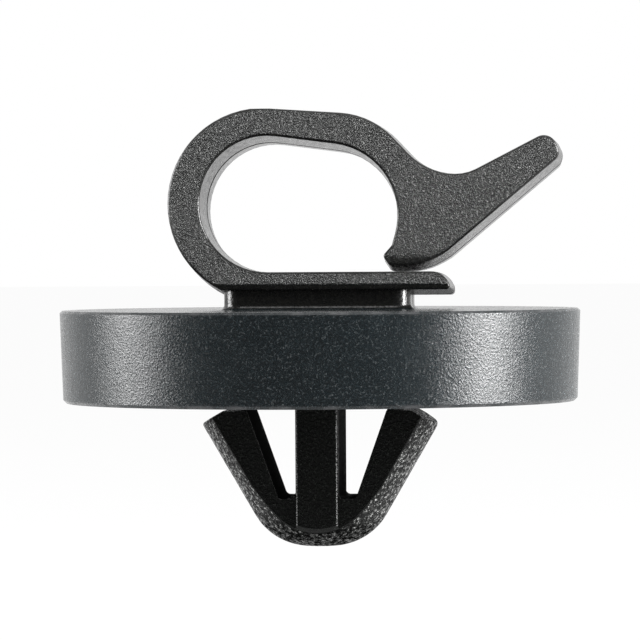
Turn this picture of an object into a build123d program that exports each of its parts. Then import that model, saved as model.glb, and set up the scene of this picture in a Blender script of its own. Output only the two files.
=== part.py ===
from build123d import *
import os
from math import asin, atan2, cos, degrees, hypot, radians, sin, sqrt, tan

# Snap-in cable clip, moulded in one piece of black nylon. A C-shaped loop with a
# springy lever holds the cable, a round cup covers the panel hole, and a two-legged
# anchor snaps in behind the panel. Millimetres, +Z up. X runs across the loop towards
# the lever and Y along the cable. The origin is the centre of the cup's rim, on the
# panel's surface.

# Cup
cup_radius = 10.0            # at its top edge, the widest place
cup_height = 3.54
cup_draft = 2.0              # degrees, the side wall narrows towards the panel
cup_wall = 0.9               # side wall at the rim
cup_ceiling = 1.0
cup_corner = 0.5             # bevel inside, where the wall meets the ceiling
rim_bevel = 0.12
top_bevel = 0.09

# Neck, which the loop stands on
neck_height = 0.54
neck_inset = 0.05            # its ends stand in this far under the loop's heel
neck_depth = 3.8
neck_corner = 0.7
neck_fillet = 0.2

# Loop: width along the cable, draft and edges
clip_width = 4.4
clip_draft = 2.5             # degrees each way from the parting plane at Y = 0
clip_edge = 0.12

# Lower arm, which the nose closes onto
arm_thickness = 0.87
arm_reach = 5.2
arm_slope_angle = 28.7       # degrees from vertical, of its sloping end
arm_slope_length = 0.1
arm_tip_radius = 0.24
closing_gap = 0.03

# Bend at the far side from the lever
bend_x = -1.83
bend_radius = 2.5            # inside
bend_wall = 1.25
bend_bulge = 0.15            # the wall is this much thicker at the far left

# Nose, with a small lip towards the cable, and the cheek over it
nose_edge = 0.24
nose_length = 0.5            # flat that rests on the arm
nose_heel_radius = 2.6
nose_setback = 0.15
lip_x = 2.747
lip_height = 0.464           # of its round's centre, above the nose's flat
lip_radius = 0.24
lip_length = 0.36
lip_angle = 41.0             # degrees from vertical
lip_root_radius = 0.15
cheek_length = 0.38
cheek_angle = 16.0           # degrees from vertical

# Brow, where the loop turns down to the cheek
brow_radius = 2.63           # inside
brow_wall = 0.5              # outer arc's radius less the inner one's
brow_back_shift = 0.35
brow_back_rise = 0.85        # of the outer arc's centre over the inner one's

# Lever
valley_angle = 46.5          # degrees from level, of the brow's back as it runs into the valley
valley_run = 0.9
valley_radius = 2.05
lever_length = 4.223         # from the middle of the valley's round to the very end
lever_drop = 1.277           # from there to the middle of the round under the end
lever_toe_radius = 0.5
lever_end_lean = 25.6        # degrees from vertical
lever_end_length = 0.185
lever_crown_radius = 0.6

# Stem in the middle of the anchor
stem_width = 1.96
stem_proud = 0.15            # how far it stands out in front of the legs
stem_draft = 4.6             # degrees each way from the parting plane
stem_edge = 0.14
stem_root = 0.3              # bevel under the cup's ceiling

# Legs and nose cone of the anchor, for a 6.5 mm hole
panel_hole = 6.5
hole_clearance = 0.05
cone_angle = 30.1            # degrees from the axis, of the legs' outer faces
leg_span = 9.1               # over the sharp corners of the legs' ends
leg_end_drop = 0.86          # of those corners, below the rim
leg_end_width = 2.0
leg_depth = 4.1
leg_outer_round = 0.2
leg_inner_round = 0.3
notch_width = 0.49           # floor between the stem and a leg
nose_height = 1.88           # solid cone under the notches
tip_width = 3.663            # over the cone's lower corners, before they are rounded
tip_flat = 0.9               # width of the flat that the rounding leaves

os.makedirs("parts", exist_ok=True)


def heading_of(angle):
    """Unit vector at an angle in degrees."""
    return Vector(cos(radians(angle)), sin(radians(angle)))


def next_pulley(pulley, angle, length, radius):
    """Pulley that a straight run of the belt leads to, leaving another at an angle.

    A negative length leads back to the pulley that the run comes from.
    """
    x, y, old_radius = pulley
    side = heading_of(angle + 90) * (radius - old_radius)
    centre = Vector(x, y) + heading_of(angle) * length + side
    return centre.X, centre.Y, radius


def draw_belt(start, pulleys):
    """Draws a closed outline from a start round pulleys, each an (x, y, radius).

    Straight tangents join them in order. The outline turns left round a positive radius
    and right round a negative one, and the last pulley's arc ends at the start.
    """
    stops = [(*start, 0)] + pulleys
    angles = []
    for (x0, y0, r0), (x1, y1, r1) in zip(stops, stops[1:]):
        run = hypot(x1 - x0, y1 - y0)
        angles.append(degrees(atan2(y1 - y0, x1 - x0) - asin((r1 - r0) / run)))
    x, y, radius = pulleys[-1]
    angles.append(degrees(atan2(start[1] - y, start[0] - x)) + 90)
    for before, (x, y, radius), arrival, departure in zip(stops, pulleys, angles, angles[1:]):
        side = heading_of(arrival + 90)
        Line(Vector(before[0], before[1]) - side * before[2], Vector(x, y) - side * radius)
        turn = (departure - arrival) % 360
        if radius < 0:
            turn -= 360
        first = arrival - 90 if radius > 0 else arrival + 90
        CenterArc((x, y), abs(radius), first, turn)


# Heights and places that follow from the sizes above
arm_bottom = cup_height + neck_height
arm_top = arm_bottom + arm_thickness
nose_bottom = arm_top + closing_gap
bend_z = arm_top + bend_radius
heel_radius = bend_radius + bend_wall
heel_centre = bend_x - bend_bulge
heel_x = heel_centre - sqrt(heel_radius**2 - (bend_z - arm_bottom) ** 2)

# Corners of the loop's outline at the parting plane, each a circle that it runs round
slope_sine = sin(radians(arm_slope_angle))
slope_cosine = cos(radians(arm_slope_angle))
slope_drop = arm_tip_radius * (1 + slope_sine) + arm_slope_length * slope_cosine
slope_radius = (arm_thickness - slope_drop) / (1 - slope_sine)
arm_tip = (arm_reach - arm_tip_radius, arm_bottom + arm_tip_radius, arm_tip_radius)
arm_slope = next_pulley(arm_tip, 90 + arm_slope_angle, arm_slope_length, slope_radius)
bend = (bend_x, bend_z, -bend_radius)
lip = (lip_x, nose_bottom + lip_height, lip_radius)
lip_root = next_pulley(lip, -90 - lip_angle, -lip_length, -lip_root_radius)
brow = next_pulley(lip_root, -90 - cheek_angle, -cheek_length, -brow_radius)
nose_front = (lip[0] + nose_setback, nose_bottom + nose_edge, nose_edge)
nose_heel = next_pulley(nose_front, 0, nose_length, nose_heel_radius)
brow_back_radius = brow_radius + brow_wall
brow_back = (brow[0] + brow_back_shift, brow[1] + brow_back_rise, brow_back_radius)
valley = next_pulley(brow_back, 180 - valley_angle, -valley_run, -valley_radius)
lever_toe = (valley[0] + lever_length - lever_toe_radius, valley[1] - lever_drop, lever_toe_radius)
lever_crown = next_pulley(lever_toe, 90 + lever_end_lean, lever_end_length, lever_crown_radius)
heel = (heel_centre, bend_z, heel_radius)

loop_corners = [
    arm_tip, arm_slope, bend, brow, lip_root, lip, nose_front, nose_heel,
    lever_toe, lever_crown, valley, brow_back, heel,
]

# The draft makes the sharpest corners sharper at the sides, which limits the edge's rounding
draft_inset = clip_width / 2 * tan(radians(clip_draft))
sharpest_corner = min(arm_tip_radius, lip_radius, nose_edge) - draft_inset
edge_radius = min(clip_edge, 0.9 * sharpest_corner)

# One half of the loop, lying on the parting plane, with its draft and its rounded edge
with BuildPart() as loop_half:
    with BuildSketch():
        with BuildLine():
            draw_belt((heel_x, arm_bottom), loop_corners)
        make_face()
    extrude(amount=clip_width / 2, taper=clip_draft)
    fillet(loop_half.faces().sort_by(Axis.Z)[-1].edges(), edge_radius)

# Places that the cup, the neck and the anchor share
rim_radius = cup_radius - cup_height * tan(radians(cup_draft))
ceiling = cup_height - cup_ceiling
hollow_radius = rim_radius - cup_wall
hollow_top = hollow_radius - ceiling * tan(radians(cup_draft))
neck_length = 2 * (-heel_x - neck_inset)
hole_radius = panel_hole / 2 - hole_clearance
cone_slope = tan(radians(cone_angle))
leg_corner = Vector(leg_span / 2, -leg_end_drop)
inner_corner = leg_corner + heading_of(180 - cone_angle) * leg_end_width
cone_top = leg_corner.Y - (leg_corner.X - hole_radius) / cone_slope
leg_travel = inner_corner.Y - cone_top
apex = leg_corner.Y - leg_corner.X / cone_slope
tip_z = apex + tip_width / 2 / cone_slope
tip_radius = (tip_width - tip_flat) / 2 / tan(radians(90 - cone_angle) / 2)
notch_z = tip_z + nose_height
notch_far = stem_width / 2 + notch_width
notch_radius = 0.4 * notch_width
stem_depth = leg_depth + 2 * stem_proud

# Room that the panel's hole leaves: a cone at the nose, then for each leg a round rod
# that leans outwards with it, and a straight one for the stem
with BuildPart() as hole_room:
    with BuildSketch(Plane.XZ) as cone_half:
        with BuildLine():
            Polyline(
                (0, cone_top), (hole_radius, cone_top), (tip_width / 2, tip_z), (0, tip_z),
                close=True,
            )
        make_face()
        fillet(cone_half.vertices().sort_by_distance((tip_width / 2, tip_z))[0], tip_radius)
    revolve(axis=Axis.Z)
    for side in (-1, 1):
        with BuildSketch(Plane.XY.offset(cone_top)):
            Circle(hole_radius)
        extrude(amount=leg_travel, dir=(side * cone_slope, 0, 1))
    with BuildSketch(Plane.XY.offset(cone_top)):
        Circle(hole_radius)
    extrude(amount=ceiling - cone_top)

with BuildPart() as anchor:
    # Both legs and the nose between them
    with BuildSketch(Plane.XZ) as leg_profile:
        with BuildLine():
            Polyline(
                (0, apex), leg_corner, inner_corner, (notch_far, notch_z), (0, notch_z), close=True,
            )
        make_face()
        fillet(leg_profile.vertices().sort_by_distance(leg_corner)[0], leg_outer_round)
        fillet(leg_profile.vertices().sort_by_distance(inner_corner)[0], leg_inner_round)
        fillet(leg_profile.vertices().sort_by_distance((notch_far, notch_z))[0], notch_radius)
        mirror(about=Plane.YZ)
    extrude(amount=leg_depth / 2, both=True)
    # Stem, drafted each way from the parting plane
    stem_front = stem_width / 2 - stem_depth / 2 * tan(radians(stem_draft))
    with BuildSketch(Plane.XY.offset(apex)) as stem_section:
        with BuildLine():
            Polyline(
                (stem_width / 2, 0), (stem_front, stem_depth / 2), (-stem_front, stem_depth / 2),
                (-stem_width / 2, 0), (-stem_front, -stem_depth / 2),
                (stem_front, -stem_depth / 2), close=True,
            )
        make_face()
        fillet(stem_section.vertices().group_by(Axis.Y)[0], stem_edge)
        fillet(stem_section.vertices().group_by(Axis.Y)[-1], stem_edge)
    extrude(amount=ceiling - apex)
    add(hole_room.part, mode=Mode.INTERSECT)
    floors = anchor.faces().filter_by(Axis.Z).sort_by(lambda f: abs(f.center().Z - notch_z))
    floor_edges = floors[0:2].edges().filter_by(lambda e: abs(e.center().X) < stem_width / 2)
    fillet(floor_edges, notch_radius)

with BuildPart() as cable_clip:
    with BuildSketch(Plane.XZ) as cup_half:
        with BuildLine():
            Polyline(
                (0, ceiling), (hollow_top, ceiling), (hollow_radius, 0), (rim_radius, 0),
                (cup_radius, cup_height), (0, cup_height), close=True,
            )
        make_face()
        chamfer(cup_half.vertices().sort_by_distance((rim_radius, 0))[0], rim_bevel)
        chamfer(cup_half.vertices().sort_by_distance((cup_radius, cup_height))[0], top_bevel)
        chamfer(cup_half.vertices().sort_by_distance((hollow_top, ceiling))[0], cup_corner)
    revolve(axis=Axis.Z)
    with BuildSketch(Plane.XY.offset(cup_height)):
        RectangleRounded(neck_length, neck_depth, neck_corner)
    extrude(amount=neck_height + arm_thickness / 2)
    cup_top = cable_clip.faces().filter_by(Axis.Z).sort_by(Axis.Z)[-2]
    fillet(cup_top.inner_wires()[0].edges(), neck_fillet)
    add(loop_half.part, rotation=(90, 0, 0))
    add(mirror(loop_half.part, about=Plane.XY, mode=Mode.PRIVATE), rotation=(90, 0, 0))
    add(anchor.part)
    level_faces = cable_clip.faces().filter_by(Axis.Z)
    cup_underside = level_faces.sort_by(lambda f: abs(f.center().Z - ceiling))[0]
    chamfer(cup_underside.inner_wires()[0].edges(), stem_root)

cable_clip.part.label = "cable_clip"
export_step(cable_clip.part, "parts/cable_clip.step")
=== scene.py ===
import logging
from dataclasses import dataclass
from enum import Enum
from math import cos, pi, radians, sin, tan
from typing import Any

import bpy
import numpy as np
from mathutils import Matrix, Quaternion, Vector


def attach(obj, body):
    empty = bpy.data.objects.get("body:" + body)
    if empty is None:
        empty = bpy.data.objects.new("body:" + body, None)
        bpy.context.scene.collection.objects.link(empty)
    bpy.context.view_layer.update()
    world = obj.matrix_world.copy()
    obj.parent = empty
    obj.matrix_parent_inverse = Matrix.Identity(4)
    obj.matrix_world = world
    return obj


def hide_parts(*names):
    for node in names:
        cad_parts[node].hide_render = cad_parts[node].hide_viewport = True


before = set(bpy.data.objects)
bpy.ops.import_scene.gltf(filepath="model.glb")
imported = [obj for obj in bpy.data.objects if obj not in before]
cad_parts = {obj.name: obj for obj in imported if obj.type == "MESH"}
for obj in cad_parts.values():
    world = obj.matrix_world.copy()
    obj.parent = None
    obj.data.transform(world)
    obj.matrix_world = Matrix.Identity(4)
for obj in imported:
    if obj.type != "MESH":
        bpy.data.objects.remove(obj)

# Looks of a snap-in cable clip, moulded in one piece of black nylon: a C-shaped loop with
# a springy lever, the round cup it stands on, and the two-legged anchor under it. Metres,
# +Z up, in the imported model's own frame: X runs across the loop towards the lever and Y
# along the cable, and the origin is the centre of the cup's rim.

LOG = logging.getLogger("cable_clip")
MM = 0.001
CAD_NODE = "cable_clip"
BODY = "root"
WHITE = (1.0, 1.0, 1.0)

Colour = tuple[float, float, float]
# Where a zone, a rise or a fade begins, and where it is complete.
Band = tuple[float, float]


class Slot(Enum):
    """Material slots of the record; only the log names the clip's."""

    NYLON = "black_nylon"


@dataclass(frozen=True)
class Value:
    """A number socket of a node tree, with arithmetic that adds Math nodes."""

    board: "NodeBoard"
    socket: bpy.types.NodeSocket

    def __add__(self, other: Any) -> "Value":
        """Sum."""
        return self.board.math("ADD", self, other)

    def __radd__(self, other: float) -> "Value":
        """Sum with a number on the left."""
        return self.board.math("ADD", self, other)

    def __sub__(self, other: Any) -> "Value":
        """Difference."""
        return self.board.math("SUBTRACT", self, other)

    def __rsub__(self, other: float) -> "Value":
        """Number less this value."""
        return self.board.math("SUBTRACT", other, self)

    def __mul__(self, other: Any) -> "Value":
        """Product."""
        return self.board.math("MULTIPLY", self, other)

    def __rmul__(self, other: float) -> "Value":
        """Product with a number on the left."""
        return self.board.math("MULTIPLY", self, other)

    def __abs__(self) -> "Value":
        """Size without the sign."""
        return self.board.math("ABSOLUTE", self)

    def __pow__(self, power: float) -> "Value":
        """Power."""
        return self.board.math("POWER", self, power)


class NodeBoard:
    """Adds nodes to one tree, laid out in columns."""

    COLUMN_NODES = 6
    COLUMN_WIDTH = 180
    ROW_HEIGHT = 220

    def __init__(self, tree: bpy.types.NodeTree) -> None:
        """Empties the tree.

        Args:
            tree: the node tree to fill.
        """
        self.tree = tree
        self.count = 0
        tree.nodes.clear()

    def node(self, kind: str, settings: dict[str, Any] | None = None,
             sockets: dict[str | int, Any] | None = None) -> bpy.types.Node:
        """Adds any node.

        Args:
            kind: the node's type, such as ShaderNodeTexNoise.
            settings: its properties, such as a Math node's operation, set first.
            sockets: values or links of its inputs, by name or place.

        Returns:
            The node.
        """
        made = self.tree.nodes.new(kind)
        column, row = divmod(self.count, self.COLUMN_NODES)
        made.location = (self.COLUMN_WIDTH * column, -self.ROW_HEIGHT * row)
        self.count += 1
        for name, setting in (settings or {}).items():
            setattr(made, name, setting)
        for name, value in (sockets or {}).items():
            self.feed(made.inputs[name], value)
        return made

    def feed(self, socket: bpy.types.NodeSocket, value: Any) -> None:
        """Links a socket to a value or node output, or sets its constant.

        Args:
            socket: the input to feed.
            value: a Value, a socket, or a plain number or tuple.
        """
        if isinstance(value, Value):
            value = value.socket
        if isinstance(value, bpy.types.NodeSocket):
            self.tree.links.new(value, socket)
        elif socket.type == "RGBA":
            socket.default_value = (*value[:3], 1.0)
        else:
            socket.default_value = value

    def value(self, node: bpy.types.Node, output: str | int = 0) -> Value:
        """Wraps a node's number output."""
        return Value(self, node.outputs[output])

    def math(self, operation: str, *values: Any) -> Value:
        """Adds a Math node.

        Args:
            operation: the node's operation.
            values: its inputs in order.

        Returns:
            The node's result.
        """
        made = self.node("ShaderNodeMath", {"operation": operation}, dict(enumerate(values)))
        return self.value(made)

    def step(self, value: Value, low: float, high: float) -> Value:
        """Smooth step: 0 under low, 1 over high; the other way round where low is the greater.

        Args:
            value: what is tested.
            low: where the step begins.
            high: where it ends.

        Returns:
            The step's height.
        """
        settings = {"interpolation_type": "SMOOTHSTEP", "clamp": True}
        if low > high:
            sockets = {0: value, 1: high, 2: low, 3: 1.0, 4: 0.0}
        else:
            sockets = {0: value, 1: low, 2: high, 3: 0.0, 4: 1.0}
        return self.value(self.node("ShaderNodeMapRange", settings, sockets))

    def mix_colour(self, factor: Any, first: Any, second: Any) -> bpy.types.NodeSocket:
        """Colour between two others.

        Args:
            factor: 0 for the first, 1 for the second.
            first: colour or colour socket.
            second: colour or colour socket.

        Returns:
            The mixed colour's socket.
        """
        settings = {"data_type": "RGBA", "blend_type": "MIX"}
        made = self.node("ShaderNodeMix", settings, {0: factor, 6: first, 7: second})
        return made.outputs[2]

    def scale_colour(self, colour: Any, factor: Value) -> bpy.types.NodeSocket:
        """Colour times a number."""
        made = self.node("ShaderNodeVectorMath", {"operation": "SCALE"}, {0: colour, 3: factor})
        return made.outputs[0]

    def mix_shader(self, factor: Value, first: bpy.types.Node,
                   second: bpy.types.Node) -> bpy.types.NodeSocket:
        """Shader between two others.

        Args:
            factor: 0 for the first, 1 for the second.
            first: shader node.
            second: shader node.

        Returns:
            The mixed shader's socket.
        """
        sockets = {0: factor, 1: first.outputs[0], 2: second.outputs[0]}
        return self.node("ShaderNodeMixShader", None, sockets).outputs[0]


@dataclass(frozen=True)
class Place:
    """Where a shading point lies in its piece's own frame, in metres."""

    board: NodeBoard
    vector: bpy.types.NodeSocket
    x: Value
    y: Value
    z: Value

    @classmethod
    def on(cls, board: NodeBoard) -> "Place":
        """Reads Object coordinates.

        Args:
            board: the material's node board.

        Returns:
            The place, with its three numbers apart.
        """
        vector = board.node("ShaderNodeTexCoord").outputs["Object"]
        apart = board.node("ShaderNodeSeparateXYZ", None, {0: vector})
        return cls(board, vector, *(board.value(apart, i) for i in range(3)))

    def radius(self) -> Value:
        """Distance from the cup's axis."""
        return (self.x * self.x + self.y * self.y) ** 0.5

    def noise(self, size: float, octaves: float, seed: float) -> Value:
        """Soft noise from 0 to 1.

        Args:
            size: of one blotch, in metres.
            octaves: of finer noise on top.
            seed: shift that gives another pattern.

        Returns:
            The noise's value.
        """
        sockets = {0: self.vector, "Location": (seed, 2 * seed, 3 * seed)}
        mapped = self.board.node("ShaderNodeMapping", None, sockets).outputs[0]
        sockets = {"Vector": mapped, "Scale": 1 / size, "Detail": octaves, "Roughness": 0.55}
        return self.board.value(self.board.node("ShaderNodeTexNoise", None, sockets))


@dataclass(frozen=True)
class Skin:
    """What one finish gives a shading point."""

    colour: bpy.types.NodeSocket
    roughness: Value
    height: Value
    pit: Value


@dataclass(frozen=True)
class GrainedNylon:
    """Black nylon with the grain that a spark-eroded mould leaves. Lengths in metres.

    The grain is a coarse and a fine noise, and blotches of a third, far wider one shade it.
    Where painted glints are asked for, the highest peaks are painted paler: painted highlights.
    """

    tint: Colour
    pit_shade_tint: Colour
    grain: float
    depth: float
    roughness: float
    spread: float
    seed: float
    fine_share: float = 0.35
    contrast: float = 0.12
    # Share of painted highlight (glints) on the relief's highest peaks.
    painted_glint: float = 0.0
    painted_glint_tint: Colour = (0.42, 0.42, 0.41)
    painted_glint_peaks: Band = (0.54, 0.68)
    fine_size: float = 0.42
    fine_shift: float = 0.013
    blotch_size: float = 16.0
    blotch_shift: float = 0.029
    darkest: float = 0.8
    shading: float = 0.4

    def skin(self, place: Place) -> Skin:
        """Mixes the noises into colour, roughness and relief.

        The relief is the coarse noise times one less the fine share, plus the fine noise
        times that share. The hollows under its middle are painted darker, as painted shade, and are
        rougher.

        Args:
            place: where the shading point is.

        Returns:
            Colour, roughness, relief and how deep in a pit the point is.
        """
        board = place.board
        coarse = place.noise(self.grain, 2.0, self.seed)
        fine = place.noise(self.grain * self.fine_size, 1.0, self.seed + self.fine_shift)
        blotch = place.noise(self.grain * self.blotch_size, 3.0, self.seed + self.blotch_shift)
        relief = coarse * (1 - self.fine_share) + fine * self.fine_share
        hollow = board.step(relief, 0.5 + self.contrast, 0.5 - self.contrast)
        # Painted shade: the colour darkens to the pit tint in the hollows of the relief.
        colour = board.mix_colour(hollow, self.tint, self.pit_shade_tint)
        # Painted highlights: the highest peaks of the relief are painted paler, as glints.
        if self.painted_glint:
            painted_peak = board.step(relief, *self.painted_glint_peaks) * self.painted_glint
            colour = board.mix_colour(painted_peak, colour, self.painted_glint_tint)
        colour = board.scale_colour(colour, self.darkest + self.shading * blotch)
        roughness = self.roughness + self.spread * (hollow * 2 - 1) + self.spread * (blotch - 0.5)
        return Skin(colour, roughness, relief * self.depth, hollow)


@dataclass(frozen=True)
class PaintedEdgeHighlight:
    """Painted highlight on the edges: paler and smoother than the rest. Lengths in metres.

    They run along the cup's top edge and rim and, more faintly, along the loop's rounded
    sides, and noise breaks them into patches.
    """

    # Colour of the painted highlight on the edges.
    tint: Colour = (0.055, 0.055, 0.057)
    strength: float = 0.55
    roughness_drop: float = 0.10
    cup_radius: Band = (9.4 * MM, 9.6 * MM)
    top_edge: float = 3.54 * MM
    off_top_edge: Band = (0.16 * MM, 0.03 * MM)
    off_rim: Band = (0.22 * MM, 0.03 * MM)
    loop_height: Band = (3.9 * MM, 4.1 * MM)
    side_start: Band = (1.98 * MM, 2.09 * MM)
    side_end: Band = (2.199 * MM, 2.18 * MM)
    side_share: float = 0.2
    patch_size: float = 0.7 * MM
    patch_seed: float = 0.31
    patches: Band = (0.40, 0.62)

    def mask(self, place: Place) -> Value:
        """Adds up the bands and breaks them with the patches.

        Args:
            place: where the shading point is.

        Returns:
            How strongly the painted highlight lies on the point, from 0 to 1.
        """
        step = place.board.step
        outer = step(place.radius(), *self.cup_radius)
        top = step(abs(place.z - self.top_edge), *self.off_top_edge) * outer
        rim = step(abs(place.z), *self.off_rim) * outer
        depth = abs(place.y)
        side = step(place.z, *self.loop_height) * step(depth, *self.side_start)
        side = side * step(depth, *self.side_end)
        patches = step(place.noise(self.patch_size, 3.0, self.patch_seed), *self.patches)
        return (top + rim + side * self.side_share) * patches


@dataclass(frozen=True)
class ZoneMasks:
    """How far a shading point lies in each zone of the clip, from 0 to 1.

    The loop takes in its flat faces. The anchor takes in all zones after it but the seam:
    its flat fronts and backs, the legs' round backs with the nose, the sides of legs and
    stem that face each other, and of these the legs' own.
    """

    loop: Value
    face: Value
    anchor: Value
    front: Value
    rod: Value
    inner: Value
    leg_side: Value
    nose: Value
    seam: Value


@dataclass(frozen=True)
class Zones:
    """Bounds of the finishes, where the mould's parts met, and of painted shade on the loop's
    faces. Lengths in metres.
    """

    loop_height: Band = (3.56 * MM, 3.60 * MM)
    # Painted shade: the faces' rounded edges and their part low on the loop take the darker wall
    # finish.
    face_depth: Band = (2.18 * MM, 2.198 * MM)
    face_height: Band = (4.43 * MM, 4.56 * MM)
    # Painted shade on the faces under the nose's tip, where the face curves under.
    shade_reach: Band = (2.3 * MM, 2.7 * MM)
    shade_floor: Band = (5.09 * MM, 5.10 * MM)
    shade_top: Band = (5.85 * MM, 5.35 * MM)
    shade: float = 0.8
    anchor_height: Band = (2.5 * MM, 2.4 * MM)
    anchor_radius: Band = (6.2 * MM, 5.8 * MM)
    between_depth: Band = (2.03 * MM, 1.99 * MM)
    nose_height: Band = (-4.3 * MM, -4.9 * MM)
    inner_reach: Band = (3.12 * MM, 2.95 * MM)
    inner_slope: float = 0.373
    leg_reach: Band = (1.12 * MM, 1.25 * MM)
    seam_depth: Band = (0.17 * MM, 0.11 * MM)

    def masks(self, place: Place) -> ZoneMasks:
        """Each mask is a product of smooth steps over height, width, depth or radius.

        Painted shade darkens the faces under the nose's tip, along their rounded edges and
        low on the loop, where these take the darker wall finish. The bound between the sides that
        face each other and the legs' round backs moves outwards with height, as the legs do.

        Args:
            place: where the shading point is.

        Returns:
            The masks.
        """
        step = place.board.step
        width, depth = abs(place.x), abs(place.y)
        loop = step(place.z, *self.loop_height)
        # Painted shade under the nose's tip.
        shaded = step(place.x, *self.shade_reach) * step(place.z, *self.shade_floor)
        shaded = shaded * step(place.z, *self.shade_top)
        # Painted shade: the faces' rounded edges and their lower part keep the darker wall finish.
        face = loop * step(depth, *self.face_depth) * step(place.z, *self.face_height)
        face = face * (1 - self.shade * shaded)
        anchor = step(place.z, *self.anchor_height) * step(place.radius(), *self.anchor_radius)
        between = anchor * step(depth, *self.between_depth)
        nose = step(place.z, *self.nose_height)
        inner = between * step(width - place.z * self.inner_slope, *self.inner_reach)
        inner = inner * (1 - nose)
        leg_side = inner * step(width, *self.leg_reach)
        seam = step(depth, *self.seam_depth) * (loop + anchor)
        return ZoneMasks(
            loop=loop, face=face, anchor=anchor, front=anchor - between, rod=between - inner,
            inner=inner, leg_side=leg_side, nose=nose, seam=seam,
        )


@dataclass(frozen=True)
class NylonMaterial:
    """The clip's one material: satin nylon in five finishes, with a near-black matt share as
    painted shade in the anchor.

    The finishes are those of the cup, of the loop's drafted walls and its neck, of the
    loop's flat front and back, of the stem with the legs' flat sides, and of the legs'
    round backs with the nose. A painted highlight along the edges and the parting line lie over all
    of them.
    """

    name: str
    cup: GrainedNylon
    wall: GrainedNylon
    face: GrainedNylon
    anchor: GrainedNylon
    rod: GrainedNylon
    edge_highlight: PaintedEdgeHighlight = PaintedEdgeHighlight()
    zones: Zones = Zones()
    inner_roughness: float = 0.65
    seam_tint: Colour = (0.002, 0.002, 0.002)
    seam_roughness: float = 0.9
    ior: float = 1.5
    specular_level: float = 0.4
    # Painted shade: a near-black matt share mixed into parts of the anchor.
    painted_shade_tint: Colour = (0.0015, 0.0016, 0.0015)
    front_painted_shade: float = 0.45
    leg_side_painted_shade: float = 0.85
    pit_painted_shade: float = 0.55
    nose_painted_shade: float = 0.45

    def build(self) -> bpy.types.Material:
        """Builds the node tree.

        Returns:
            The material.
        """
        material = bpy.data.materials.new(self.name)
        material.use_nodes = True
        board = NodeBoard(material.node_tree)
        place = Place.on(board)
        masks = self.zones.masks(place)
        cup, wall, face, anchor, rod = (
            finish.skin(place)
            for finish in (self.cup, self.wall, self.face, self.anchor, self.rod)
        )
        colour, roughness, height = cup.colour, cup.roughness, cup.height
        layers = (
            (masks.loop, wall), (masks.face, face), (masks.anchor, anchor), (masks.rod, rod),
        )
        for mask, skin in layers:
            colour = board.mix_colour(mask, colour, skin.colour)
            roughness = roughness * (1 - mask) + skin.roughness * mask
            height = height * (1 - mask) + skin.height * mask
        roughness = roughness + masks.inner * self.inner_roughness
        # Painted highlight: the edges are painted paler and made smoother.
        highlighted = self.edge_highlight.mask(place) * self.edge_highlight.strength
        colour = board.mix_colour(highlighted, colour, self.edge_highlight.tint)
        roughness = roughness - highlighted * self.edge_highlight.roughness_drop
        colour = board.mix_colour(masks.seam, colour, self.seam_tint)
        roughness = roughness + masks.seam * (self.seam_roughness - roughness)
        bump = board.node(
            "ShaderNodeBump", None, {"Strength": 1.0, "Distance": 1.0, "Height": height},
        )
        satin = board.node("ShaderNodeBsdfPrincipled", None, {
            "Base Color": colour, "Roughness": roughness, "Normal": bump.outputs[0],
            "IOR": self.ior, "Specular IOR Level": self.specular_level,
        })
        # Painted shade: the near-black matt darkens the anchor's fronts, the legs' facing sides,
        # the rods' pits and the nose.
        matt = board.node("ShaderNodeBsdfDiffuse", None, {"Color": self.painted_shade_tint})
        painted_shade_share = masks.front * self.front_painted_shade + masks.leg_side * self.leg_side_painted_shade
        rod_painted_shade = self.pit_painted_shade * rod.pit + self.nose_painted_shade * masks.nose
        painted_shade_share = painted_shade_share + masks.rod * rod_painted_shade
        shader = board.mix_shader(painted_shade_share, satin, matt)
        board.node("ShaderNodeOutputMaterial", None, {0: shader})
        return material


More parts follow.
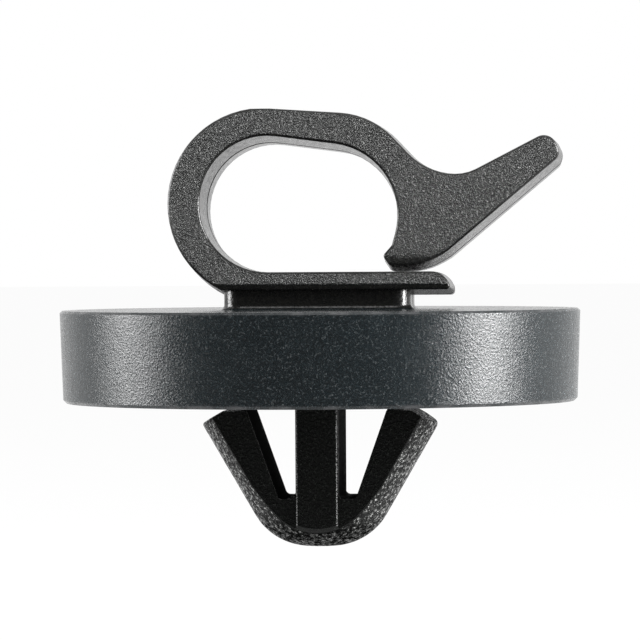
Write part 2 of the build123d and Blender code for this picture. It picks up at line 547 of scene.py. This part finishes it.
@dataclass(frozen=True)
class ClipBody:
    """The moulded clip: the CAD solid's surface, with the warp that moulding left, dressed.

    The loop leans a little along the cable, so that its front stands higher than its back,
    and the lever droops a little. The lean fades in over the height of the neck. Angles in
    degrees, lengths in metres.
    """

    name: str = "clip_body"
    node: str = CAD_NODE
    merge_digits: int = 5
    lean: float = 3.3
    lean_heights: Band = (3.58 * MM, 4.06 * MM)
    droop: float = 0.15 * MM
    droop_reach: Band = (3.9 * MM, 6.2 * MM)
    droop_heights: Band = (5.1 * MM, 6.0 * MM)
    face: GrainedNylon = GrainedNylon(
        tint=(0.038, 0.040, 0.038), pit_shade_tint=(0.006, 0.006, 0.006), grain=0.105 * MM,
        depth=0.18 * MM, roughness=0.46, spread=0.07, seed=0.0, fine_share=0.55, contrast=0.14,
        painted_glint=0.33,
    )
    wall: GrainedNylon = GrainedNylon(
        tint=(0.011, 0.011, 0.010), pit_shade_tint=(0.005, 0.005, 0.005), grain=0.16 * MM,
        depth=0.016 * MM, roughness=0.22, spread=0.08, seed=0.37,
    )
    cup: GrainedNylon = GrainedNylon(
        tint=(0.008, 0.012, 0.014), pit_shade_tint=(0.004, 0.006, 0.007), grain=0.085 * MM,
        depth=0.020 * MM, roughness=0.20, spread=0.11, seed=0.11, painted_glint=0.10,
    )
    # The anchor's tints are far darker than the rest of the nylon: painted shade, as it lies under
    # the cup.
    anchor: GrainedNylon = GrainedNylon(
        tint=(0.002, 0.003, 0.002), pit_shade_tint=(0.001, 0.001, 0.001), grain=0.11 * MM,
        depth=0.030 * MM, roughness=0.26, spread=0.08, seed=0.23, painted_glint=0.03,
    )
    rod: GrainedNylon = GrainedNylon(
        tint=(0.003, 0.004, 0.003), pit_shade_tint=(0.001, 0.001, 0.001), grain=0.15 * MM,
        depth=0.11 * MM, roughness=0.38, spread=0.26, seed=0.53, contrast=0.07, painted_glint=0.5,
    )

    def warped(self, points: np.ndarray, normals: np.ndarray) -> tuple[np.ndarray, np.ndarray]:
        """Moves the surface along Z by the lean and the droop, but never over the solid's top.

        The lean is minus the angle's tangent times Y, times a smooth rise over the neck's
        height. The droop is a fixed drop times a smooth rise along the lever and another over
        the nose's height. With g as the gradient of both together, a normal n becomes
        n - g nz / (1 + gz), brought back to unit length.

        Args:
            points: one place for each corner of the faces, in metres.
            normals: the surface's normal at each of these corners.

        Returns:
            The moved places and their unit normals.
        """
        x, y, z = points.T
        slope = tan(radians(self.lean))
        leaning, leaning_growth = smooth_rise(z, *self.lean_heights)
        reach, reach_growth = smooth_rise(x, *self.droop_reach)
        height, height_growth = smooth_rise(z, *self.droop_heights)
        lift = -slope * leaning * y - self.droop * reach * height
        along_x = -self.droop * reach_growth * height
        along_y = -slope * leaning
        along_z = -slope * leaning_growth * y - self.droop * reach * height_growth
        level = normals[:, 2] / (1.0 + along_z)
        turned = np.stack(
            [normals[:, 0] - along_x * level, normals[:, 1] - along_y * level, level], axis=1,
        )
        turned /= np.linalg.norm(turned, axis=1, keepdims=True)
        return np.stack([x, y, np.minimum(z + lift, z.max())], axis=1), turned

    def corners(self) -> tuple[np.ndarray, np.ndarray]:
        """Reads the CAD node's surface, with its matrix worked into the numbers.

        Returns:
            The place and the normal at each corner of its faces, three corners to a face.
        """
        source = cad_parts[self.node]
        mesh = source.data
        places = np.empty(len(mesh.vertices) * 3)
        mesh.vertices.foreach_get("co", places)
        used = np.empty(len(mesh.loops), dtype=np.int32)
        mesh.loops.foreach_get("vertex_index", used)
        normals = np.empty(len(mesh.loops) * 3)
        mesh.corner_normals.foreach_get("vector", normals)
        turn = np.array(source.matrix_world)[:3, :3]
        shift = np.array(source.matrix_world)[:3, 3]
        return places.reshape(-1, 3)[used] @ turn.T + shift, normals.reshape(-1, 3) @ turn.T

    def build(self) -> bpy.types.Object:
        """Builds the clip's mesh from a merged and warped copy of the CAD node's surface.

        Corners whose places agree when they are rounded become one point, and a face that
        then has two corners in one point is dropped.

        Returns:
            The piece, which stands in for the CAD node.
        """
        points, normals = self.warped(*self.corners())
        rounded = np.round(points / MM, self.merge_digits)
        _, first, merged = np.unique(rounded, axis=0, return_index=True, return_inverse=True)
        faces = merged.reshape(-1, 3)
        whole = (faces != np.roll(faces, 1, axis=1)).all(axis=1)
        made = bpy.data.meshes.new(self.name)
        made.from_pydata(points[first].tolist(), [], faces[whole].tolist())
        made.polygons.foreach_set("use_smooth", np.ones(len(made.polygons), dtype=bool))
        made.normals_split_custom_set(normals.reshape(-1, 3, 3)[whole].reshape(-1, 3).tolist())
        piece = bpy.data.objects.new(self.name, made)
        bpy.context.scene.collection.objects.link(piece)
        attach(piece, BODY)
        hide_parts(self.node)
        return piece

    def dress(self) -> bpy.types.Object:
        """Builds the piece and gives it its material.

        Returns:
            The piece's object.
        """
        piece = self.build()
        material = NylonMaterial(
            name="grained_nylon", cup=self.cup, wall=self.wall, face=self.face,
            anchor=self.anchor, rod=self.rod,
        )
        piece.data.materials.append(material.build())
        return piece


@dataclass(frozen=True)
class Floor:
    """Plain pale floor far under the clip. It shows white and keeps the clip's shadow.

    Reflections see it white behind the clip and dim in front of it, as the room is.
    """

    height: float = -16 * MM
    half_width: float = 3.0
    lines: int = 9
    tint: Colour = (0.9, 0.9, 0.9)
    glow: float = 0.94
    front: float = 0.05
    front_to_back: Band = (-120 * MM, 60 * MM)

    def build(self) -> bpy.types.Object:
        """Builds the floor as a level grid.

        Returns:
            The floor's object.
        """
        steps = np.linspace(-self.half_width, self.half_width, self.lines)
        x, y = np.meshgrid(steps, steps)
        points = np.stack([x, y, np.full_like(x, self.height)], axis=-1).reshape(-1, 3)
        mesh = bpy.data.meshes.new("floor")
        mesh.from_pydata(points.tolist(), [], grid_faces(self.lines, self.lines).tolist())
        floor = bpy.data.objects.new("floor", mesh)
        bpy.context.scene.collection.objects.link(floor)
        mesh.materials.append(self.material())
        return floor

    def material(self) -> bpy.types.Material:
        """Pale matt, mixed with white where the camera, a reflection or clear matter sees it.

        Returns:
            The material.
        """
        material = bpy.data.materials.new("pale_floor")
        material.use_nodes = True
        board = NodeBoard(material.node_tree)
        matt = board.node("ShaderNodeBsdfDiffuse", None, {"Color": self.tint})
        path = board.node("ShaderNodeLightPath")
        camera = board.value(path, "Is Camera Ray")
        glossy = board.value(path, "Is Glossy Ray")
        through = board.value(path, "Is Transmission Ray")
        behind = board.step(Place.on(board).y, *self.front_to_back)
        dimmed = glossy * (1 - camera) * (1 - behind) * (1 - self.front)
        shade = board.scale_colour(WHITE, 1 - dimmed)
        white = board.node("ShaderNodeEmission", None, {"Color": shade, "Strength": 1.0})
        seen = board.math("MAXIMUM", board.math("MAXIMUM", camera, glossy), through)
        shader = board.mix_shader(seen * self.glow, matt, white)
        board.node("ShaderNodeOutputMaterial", None, {0: shader})
        return material


@dataclass(frozen=True)
class SoftBox:
    """A square lamp that looks at the clip from a side. Angles in degrees."""

    name: str
    azimuth: float
    elevation: float
    distance: float
    width: float
    height: float
    radiance: float
    target_height: float = 3 * MM

    def build(self) -> bpy.types.Object:
        """Places the lamp. Azimuth 0 is the camera's side, -Y, and grows towards +X.

        Returns:
            The lamp's object.
        """
        lamp = bpy.data.lights.new(self.name, "AREA")
        lamp.shape = "RECTANGLE"
        lamp.size = self.width
        lamp.size_y = self.height
        lamp.energy = self.radiance * pi * self.width * self.height
        turn, rise = radians(self.azimuth), radians(self.elevation)
        heading = Vector((sin(turn) * cos(rise), -cos(turn) * cos(rise), sin(rise)))
        target = Vector((0, 0, self.target_height))
        box = bpy.data.objects.new(self.name, lamp)
        box.location = target + heading * self.distance
        box.rotation_euler = heading.to_track_quat("Z", "Y").to_euler()
        bpy.context.scene.collection.objects.link(box)
        return box


@dataclass(frozen=True)
class Room:
    """White room: plain white to the camera, softer as a light, dimmer behind the camera."""

    light: float = 0.5
    front: float = 0.03
    back: float = 1.0
    front_to_back: Band = (-0.7, 0.3)

    def build(self) -> None:
        """Builds the world's nodes: the glossy level rises with the ray's Y from front to back."""
        world = bpy.data.worlds.new("white_room")
        world.use_nodes = True
        bpy.context.scene.world = world
        board = NodeBoard(world.node_tree)
        ray = board.node("ShaderNodeTexCoord").outputs["Generated"]
        y = board.value(board.node("ShaderNodeSeparateXYZ", None, {0: ray}), "Y")
        rise = board.step(y, *self.front_to_back)
        mirrored = self.front + (self.back - self.front) * rise
        path = board.node("ShaderNodeLightPath")
        camera = board.value(path, "Is Camera Ray")
        glossy = board.value(path, "Is Glossy Ray")
        through = board.value(path, "Is Transmission Ray")
        shown = camera + through
        strength = shown + glossy * (1 - shown) * mirrored + (1 - glossy) * (1 - shown) * self.light
        sockets = {"Color": WHITE, "Strength": strength}
        background = board.node("ShaderNodeBackground", None, sockets)
        board.node("ShaderNodeOutputWorld", None, {0: background.outputs[0]})


@dataclass(frozen=True)
class Camera:
    """The photograph's viewpoint: far in front, slightly to the right and just over the cup.

    Angles in degrees, lengths in metres, lens and sensor in millimetres.
    """

    distance: float = 176.5 * MM
    yaw: float = 4.4
    height: float = 5.66 * MM
    pitch: float = 0.824
    roll: float = 0.35
    lens: float = 258.2
    sensor: float = 36.0
    nearest: float = 5 * MM

    def build(self) -> bpy.types.Object:
        """Places the camera and makes it the scene's.

        Returns:
            The camera's object.
        """
        data = bpy.data.cameras.new("camera")
        data.lens = self.lens
        data.sensor_width = self.sensor
        data.clip_start = self.nearest
        camera = bpy.data.objects.new("camera", data)
        turn = radians(self.yaw)
        spot = Vector((self.distance * sin(turn), -self.distance * cos(turn), self.height))
        aim = Vector((0, 0, self.height - self.distance * tan(radians(self.pitch))))
        level = (aim - spot).to_track_quat("-Z", "Y")
        camera.location = spot
        camera.rotation_euler = (level @ Quaternion((0, 0, 1), -radians(self.roll))).to_euler()
        bpy.context.scene.collection.objects.link(camera)
        bpy.context.scene.camera = camera
        return camera


def grid_faces(rows: int, columns: int) -> np.ndarray:
    """Four-sided faces of a grid of points, stored row after row.

    Each face's corners are a point, the next in its row, and these two in the next row.

    Args:
        rows: points one way.
        columns: points the other way.

    Returns:
        The faces' corner numbers, four in a row.
    """
    first = (np.arange(rows - 1)[:, None] * columns + np.arange(columns - 1)[None, :]).ravel()
    return np.stack([first, first + 1, first + columns + 1, first + columns], axis=1)


def smooth_rise(values: np.ndarray, low: float, high: float) -> tuple[np.ndarray, np.ndarray]:
    """Smooth step 3 t^2 - 2 t^3 from 0 at a low value to 1 at a high one, and its growth.

    Args:
        values: what is stepped.
        low: where the rise begins.
        high: where it ends.

    Returns:
        The step's height and its derivative at each value.
    """
    t = np.clip((values - low) / (high - low), 0.0, 1.0)
    return t * t * (3.0 - 2.0 * t), 6.0 * t * (1.0 - t) / (high - low)


def main() -> None:
    """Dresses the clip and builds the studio."""
    logging.basicConfig(level=logging.INFO, format="%(name)s: %(message)s")
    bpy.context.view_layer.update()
    body = ClipBody().dress()
    LOG.info("%s: %d faces, in %s", body.name, len(body.data.polygons), Slot.NYLON.value)
    floor = Floor().build()
    LOG.info("%s: placed", floor.name)
    Room().build()
    lamps = (
        SoftBox(name="left_box", azimuth=-86, elevation=2, distance=0.30,
                width=0.13, height=0.30, radiance=19.0),
        SoftBox(name="right_box", azimuth=82, elevation=2, distance=0.30,
                width=0.115, height=0.30, radiance=42.0),
        SoftBox(name="top_box", azimuth=10, elevation=62, distance=0.35,
                width=0.25, height=0.25, radiance=3.0),
    )
    for lamp in lamps:
        lamp.build()
        LOG.info("%s: placed", lamp.name)
    Camera().build()
    bpy.context.scene.view_settings.view_transform = "Standard"


if __name__ == "__main__":
    main()
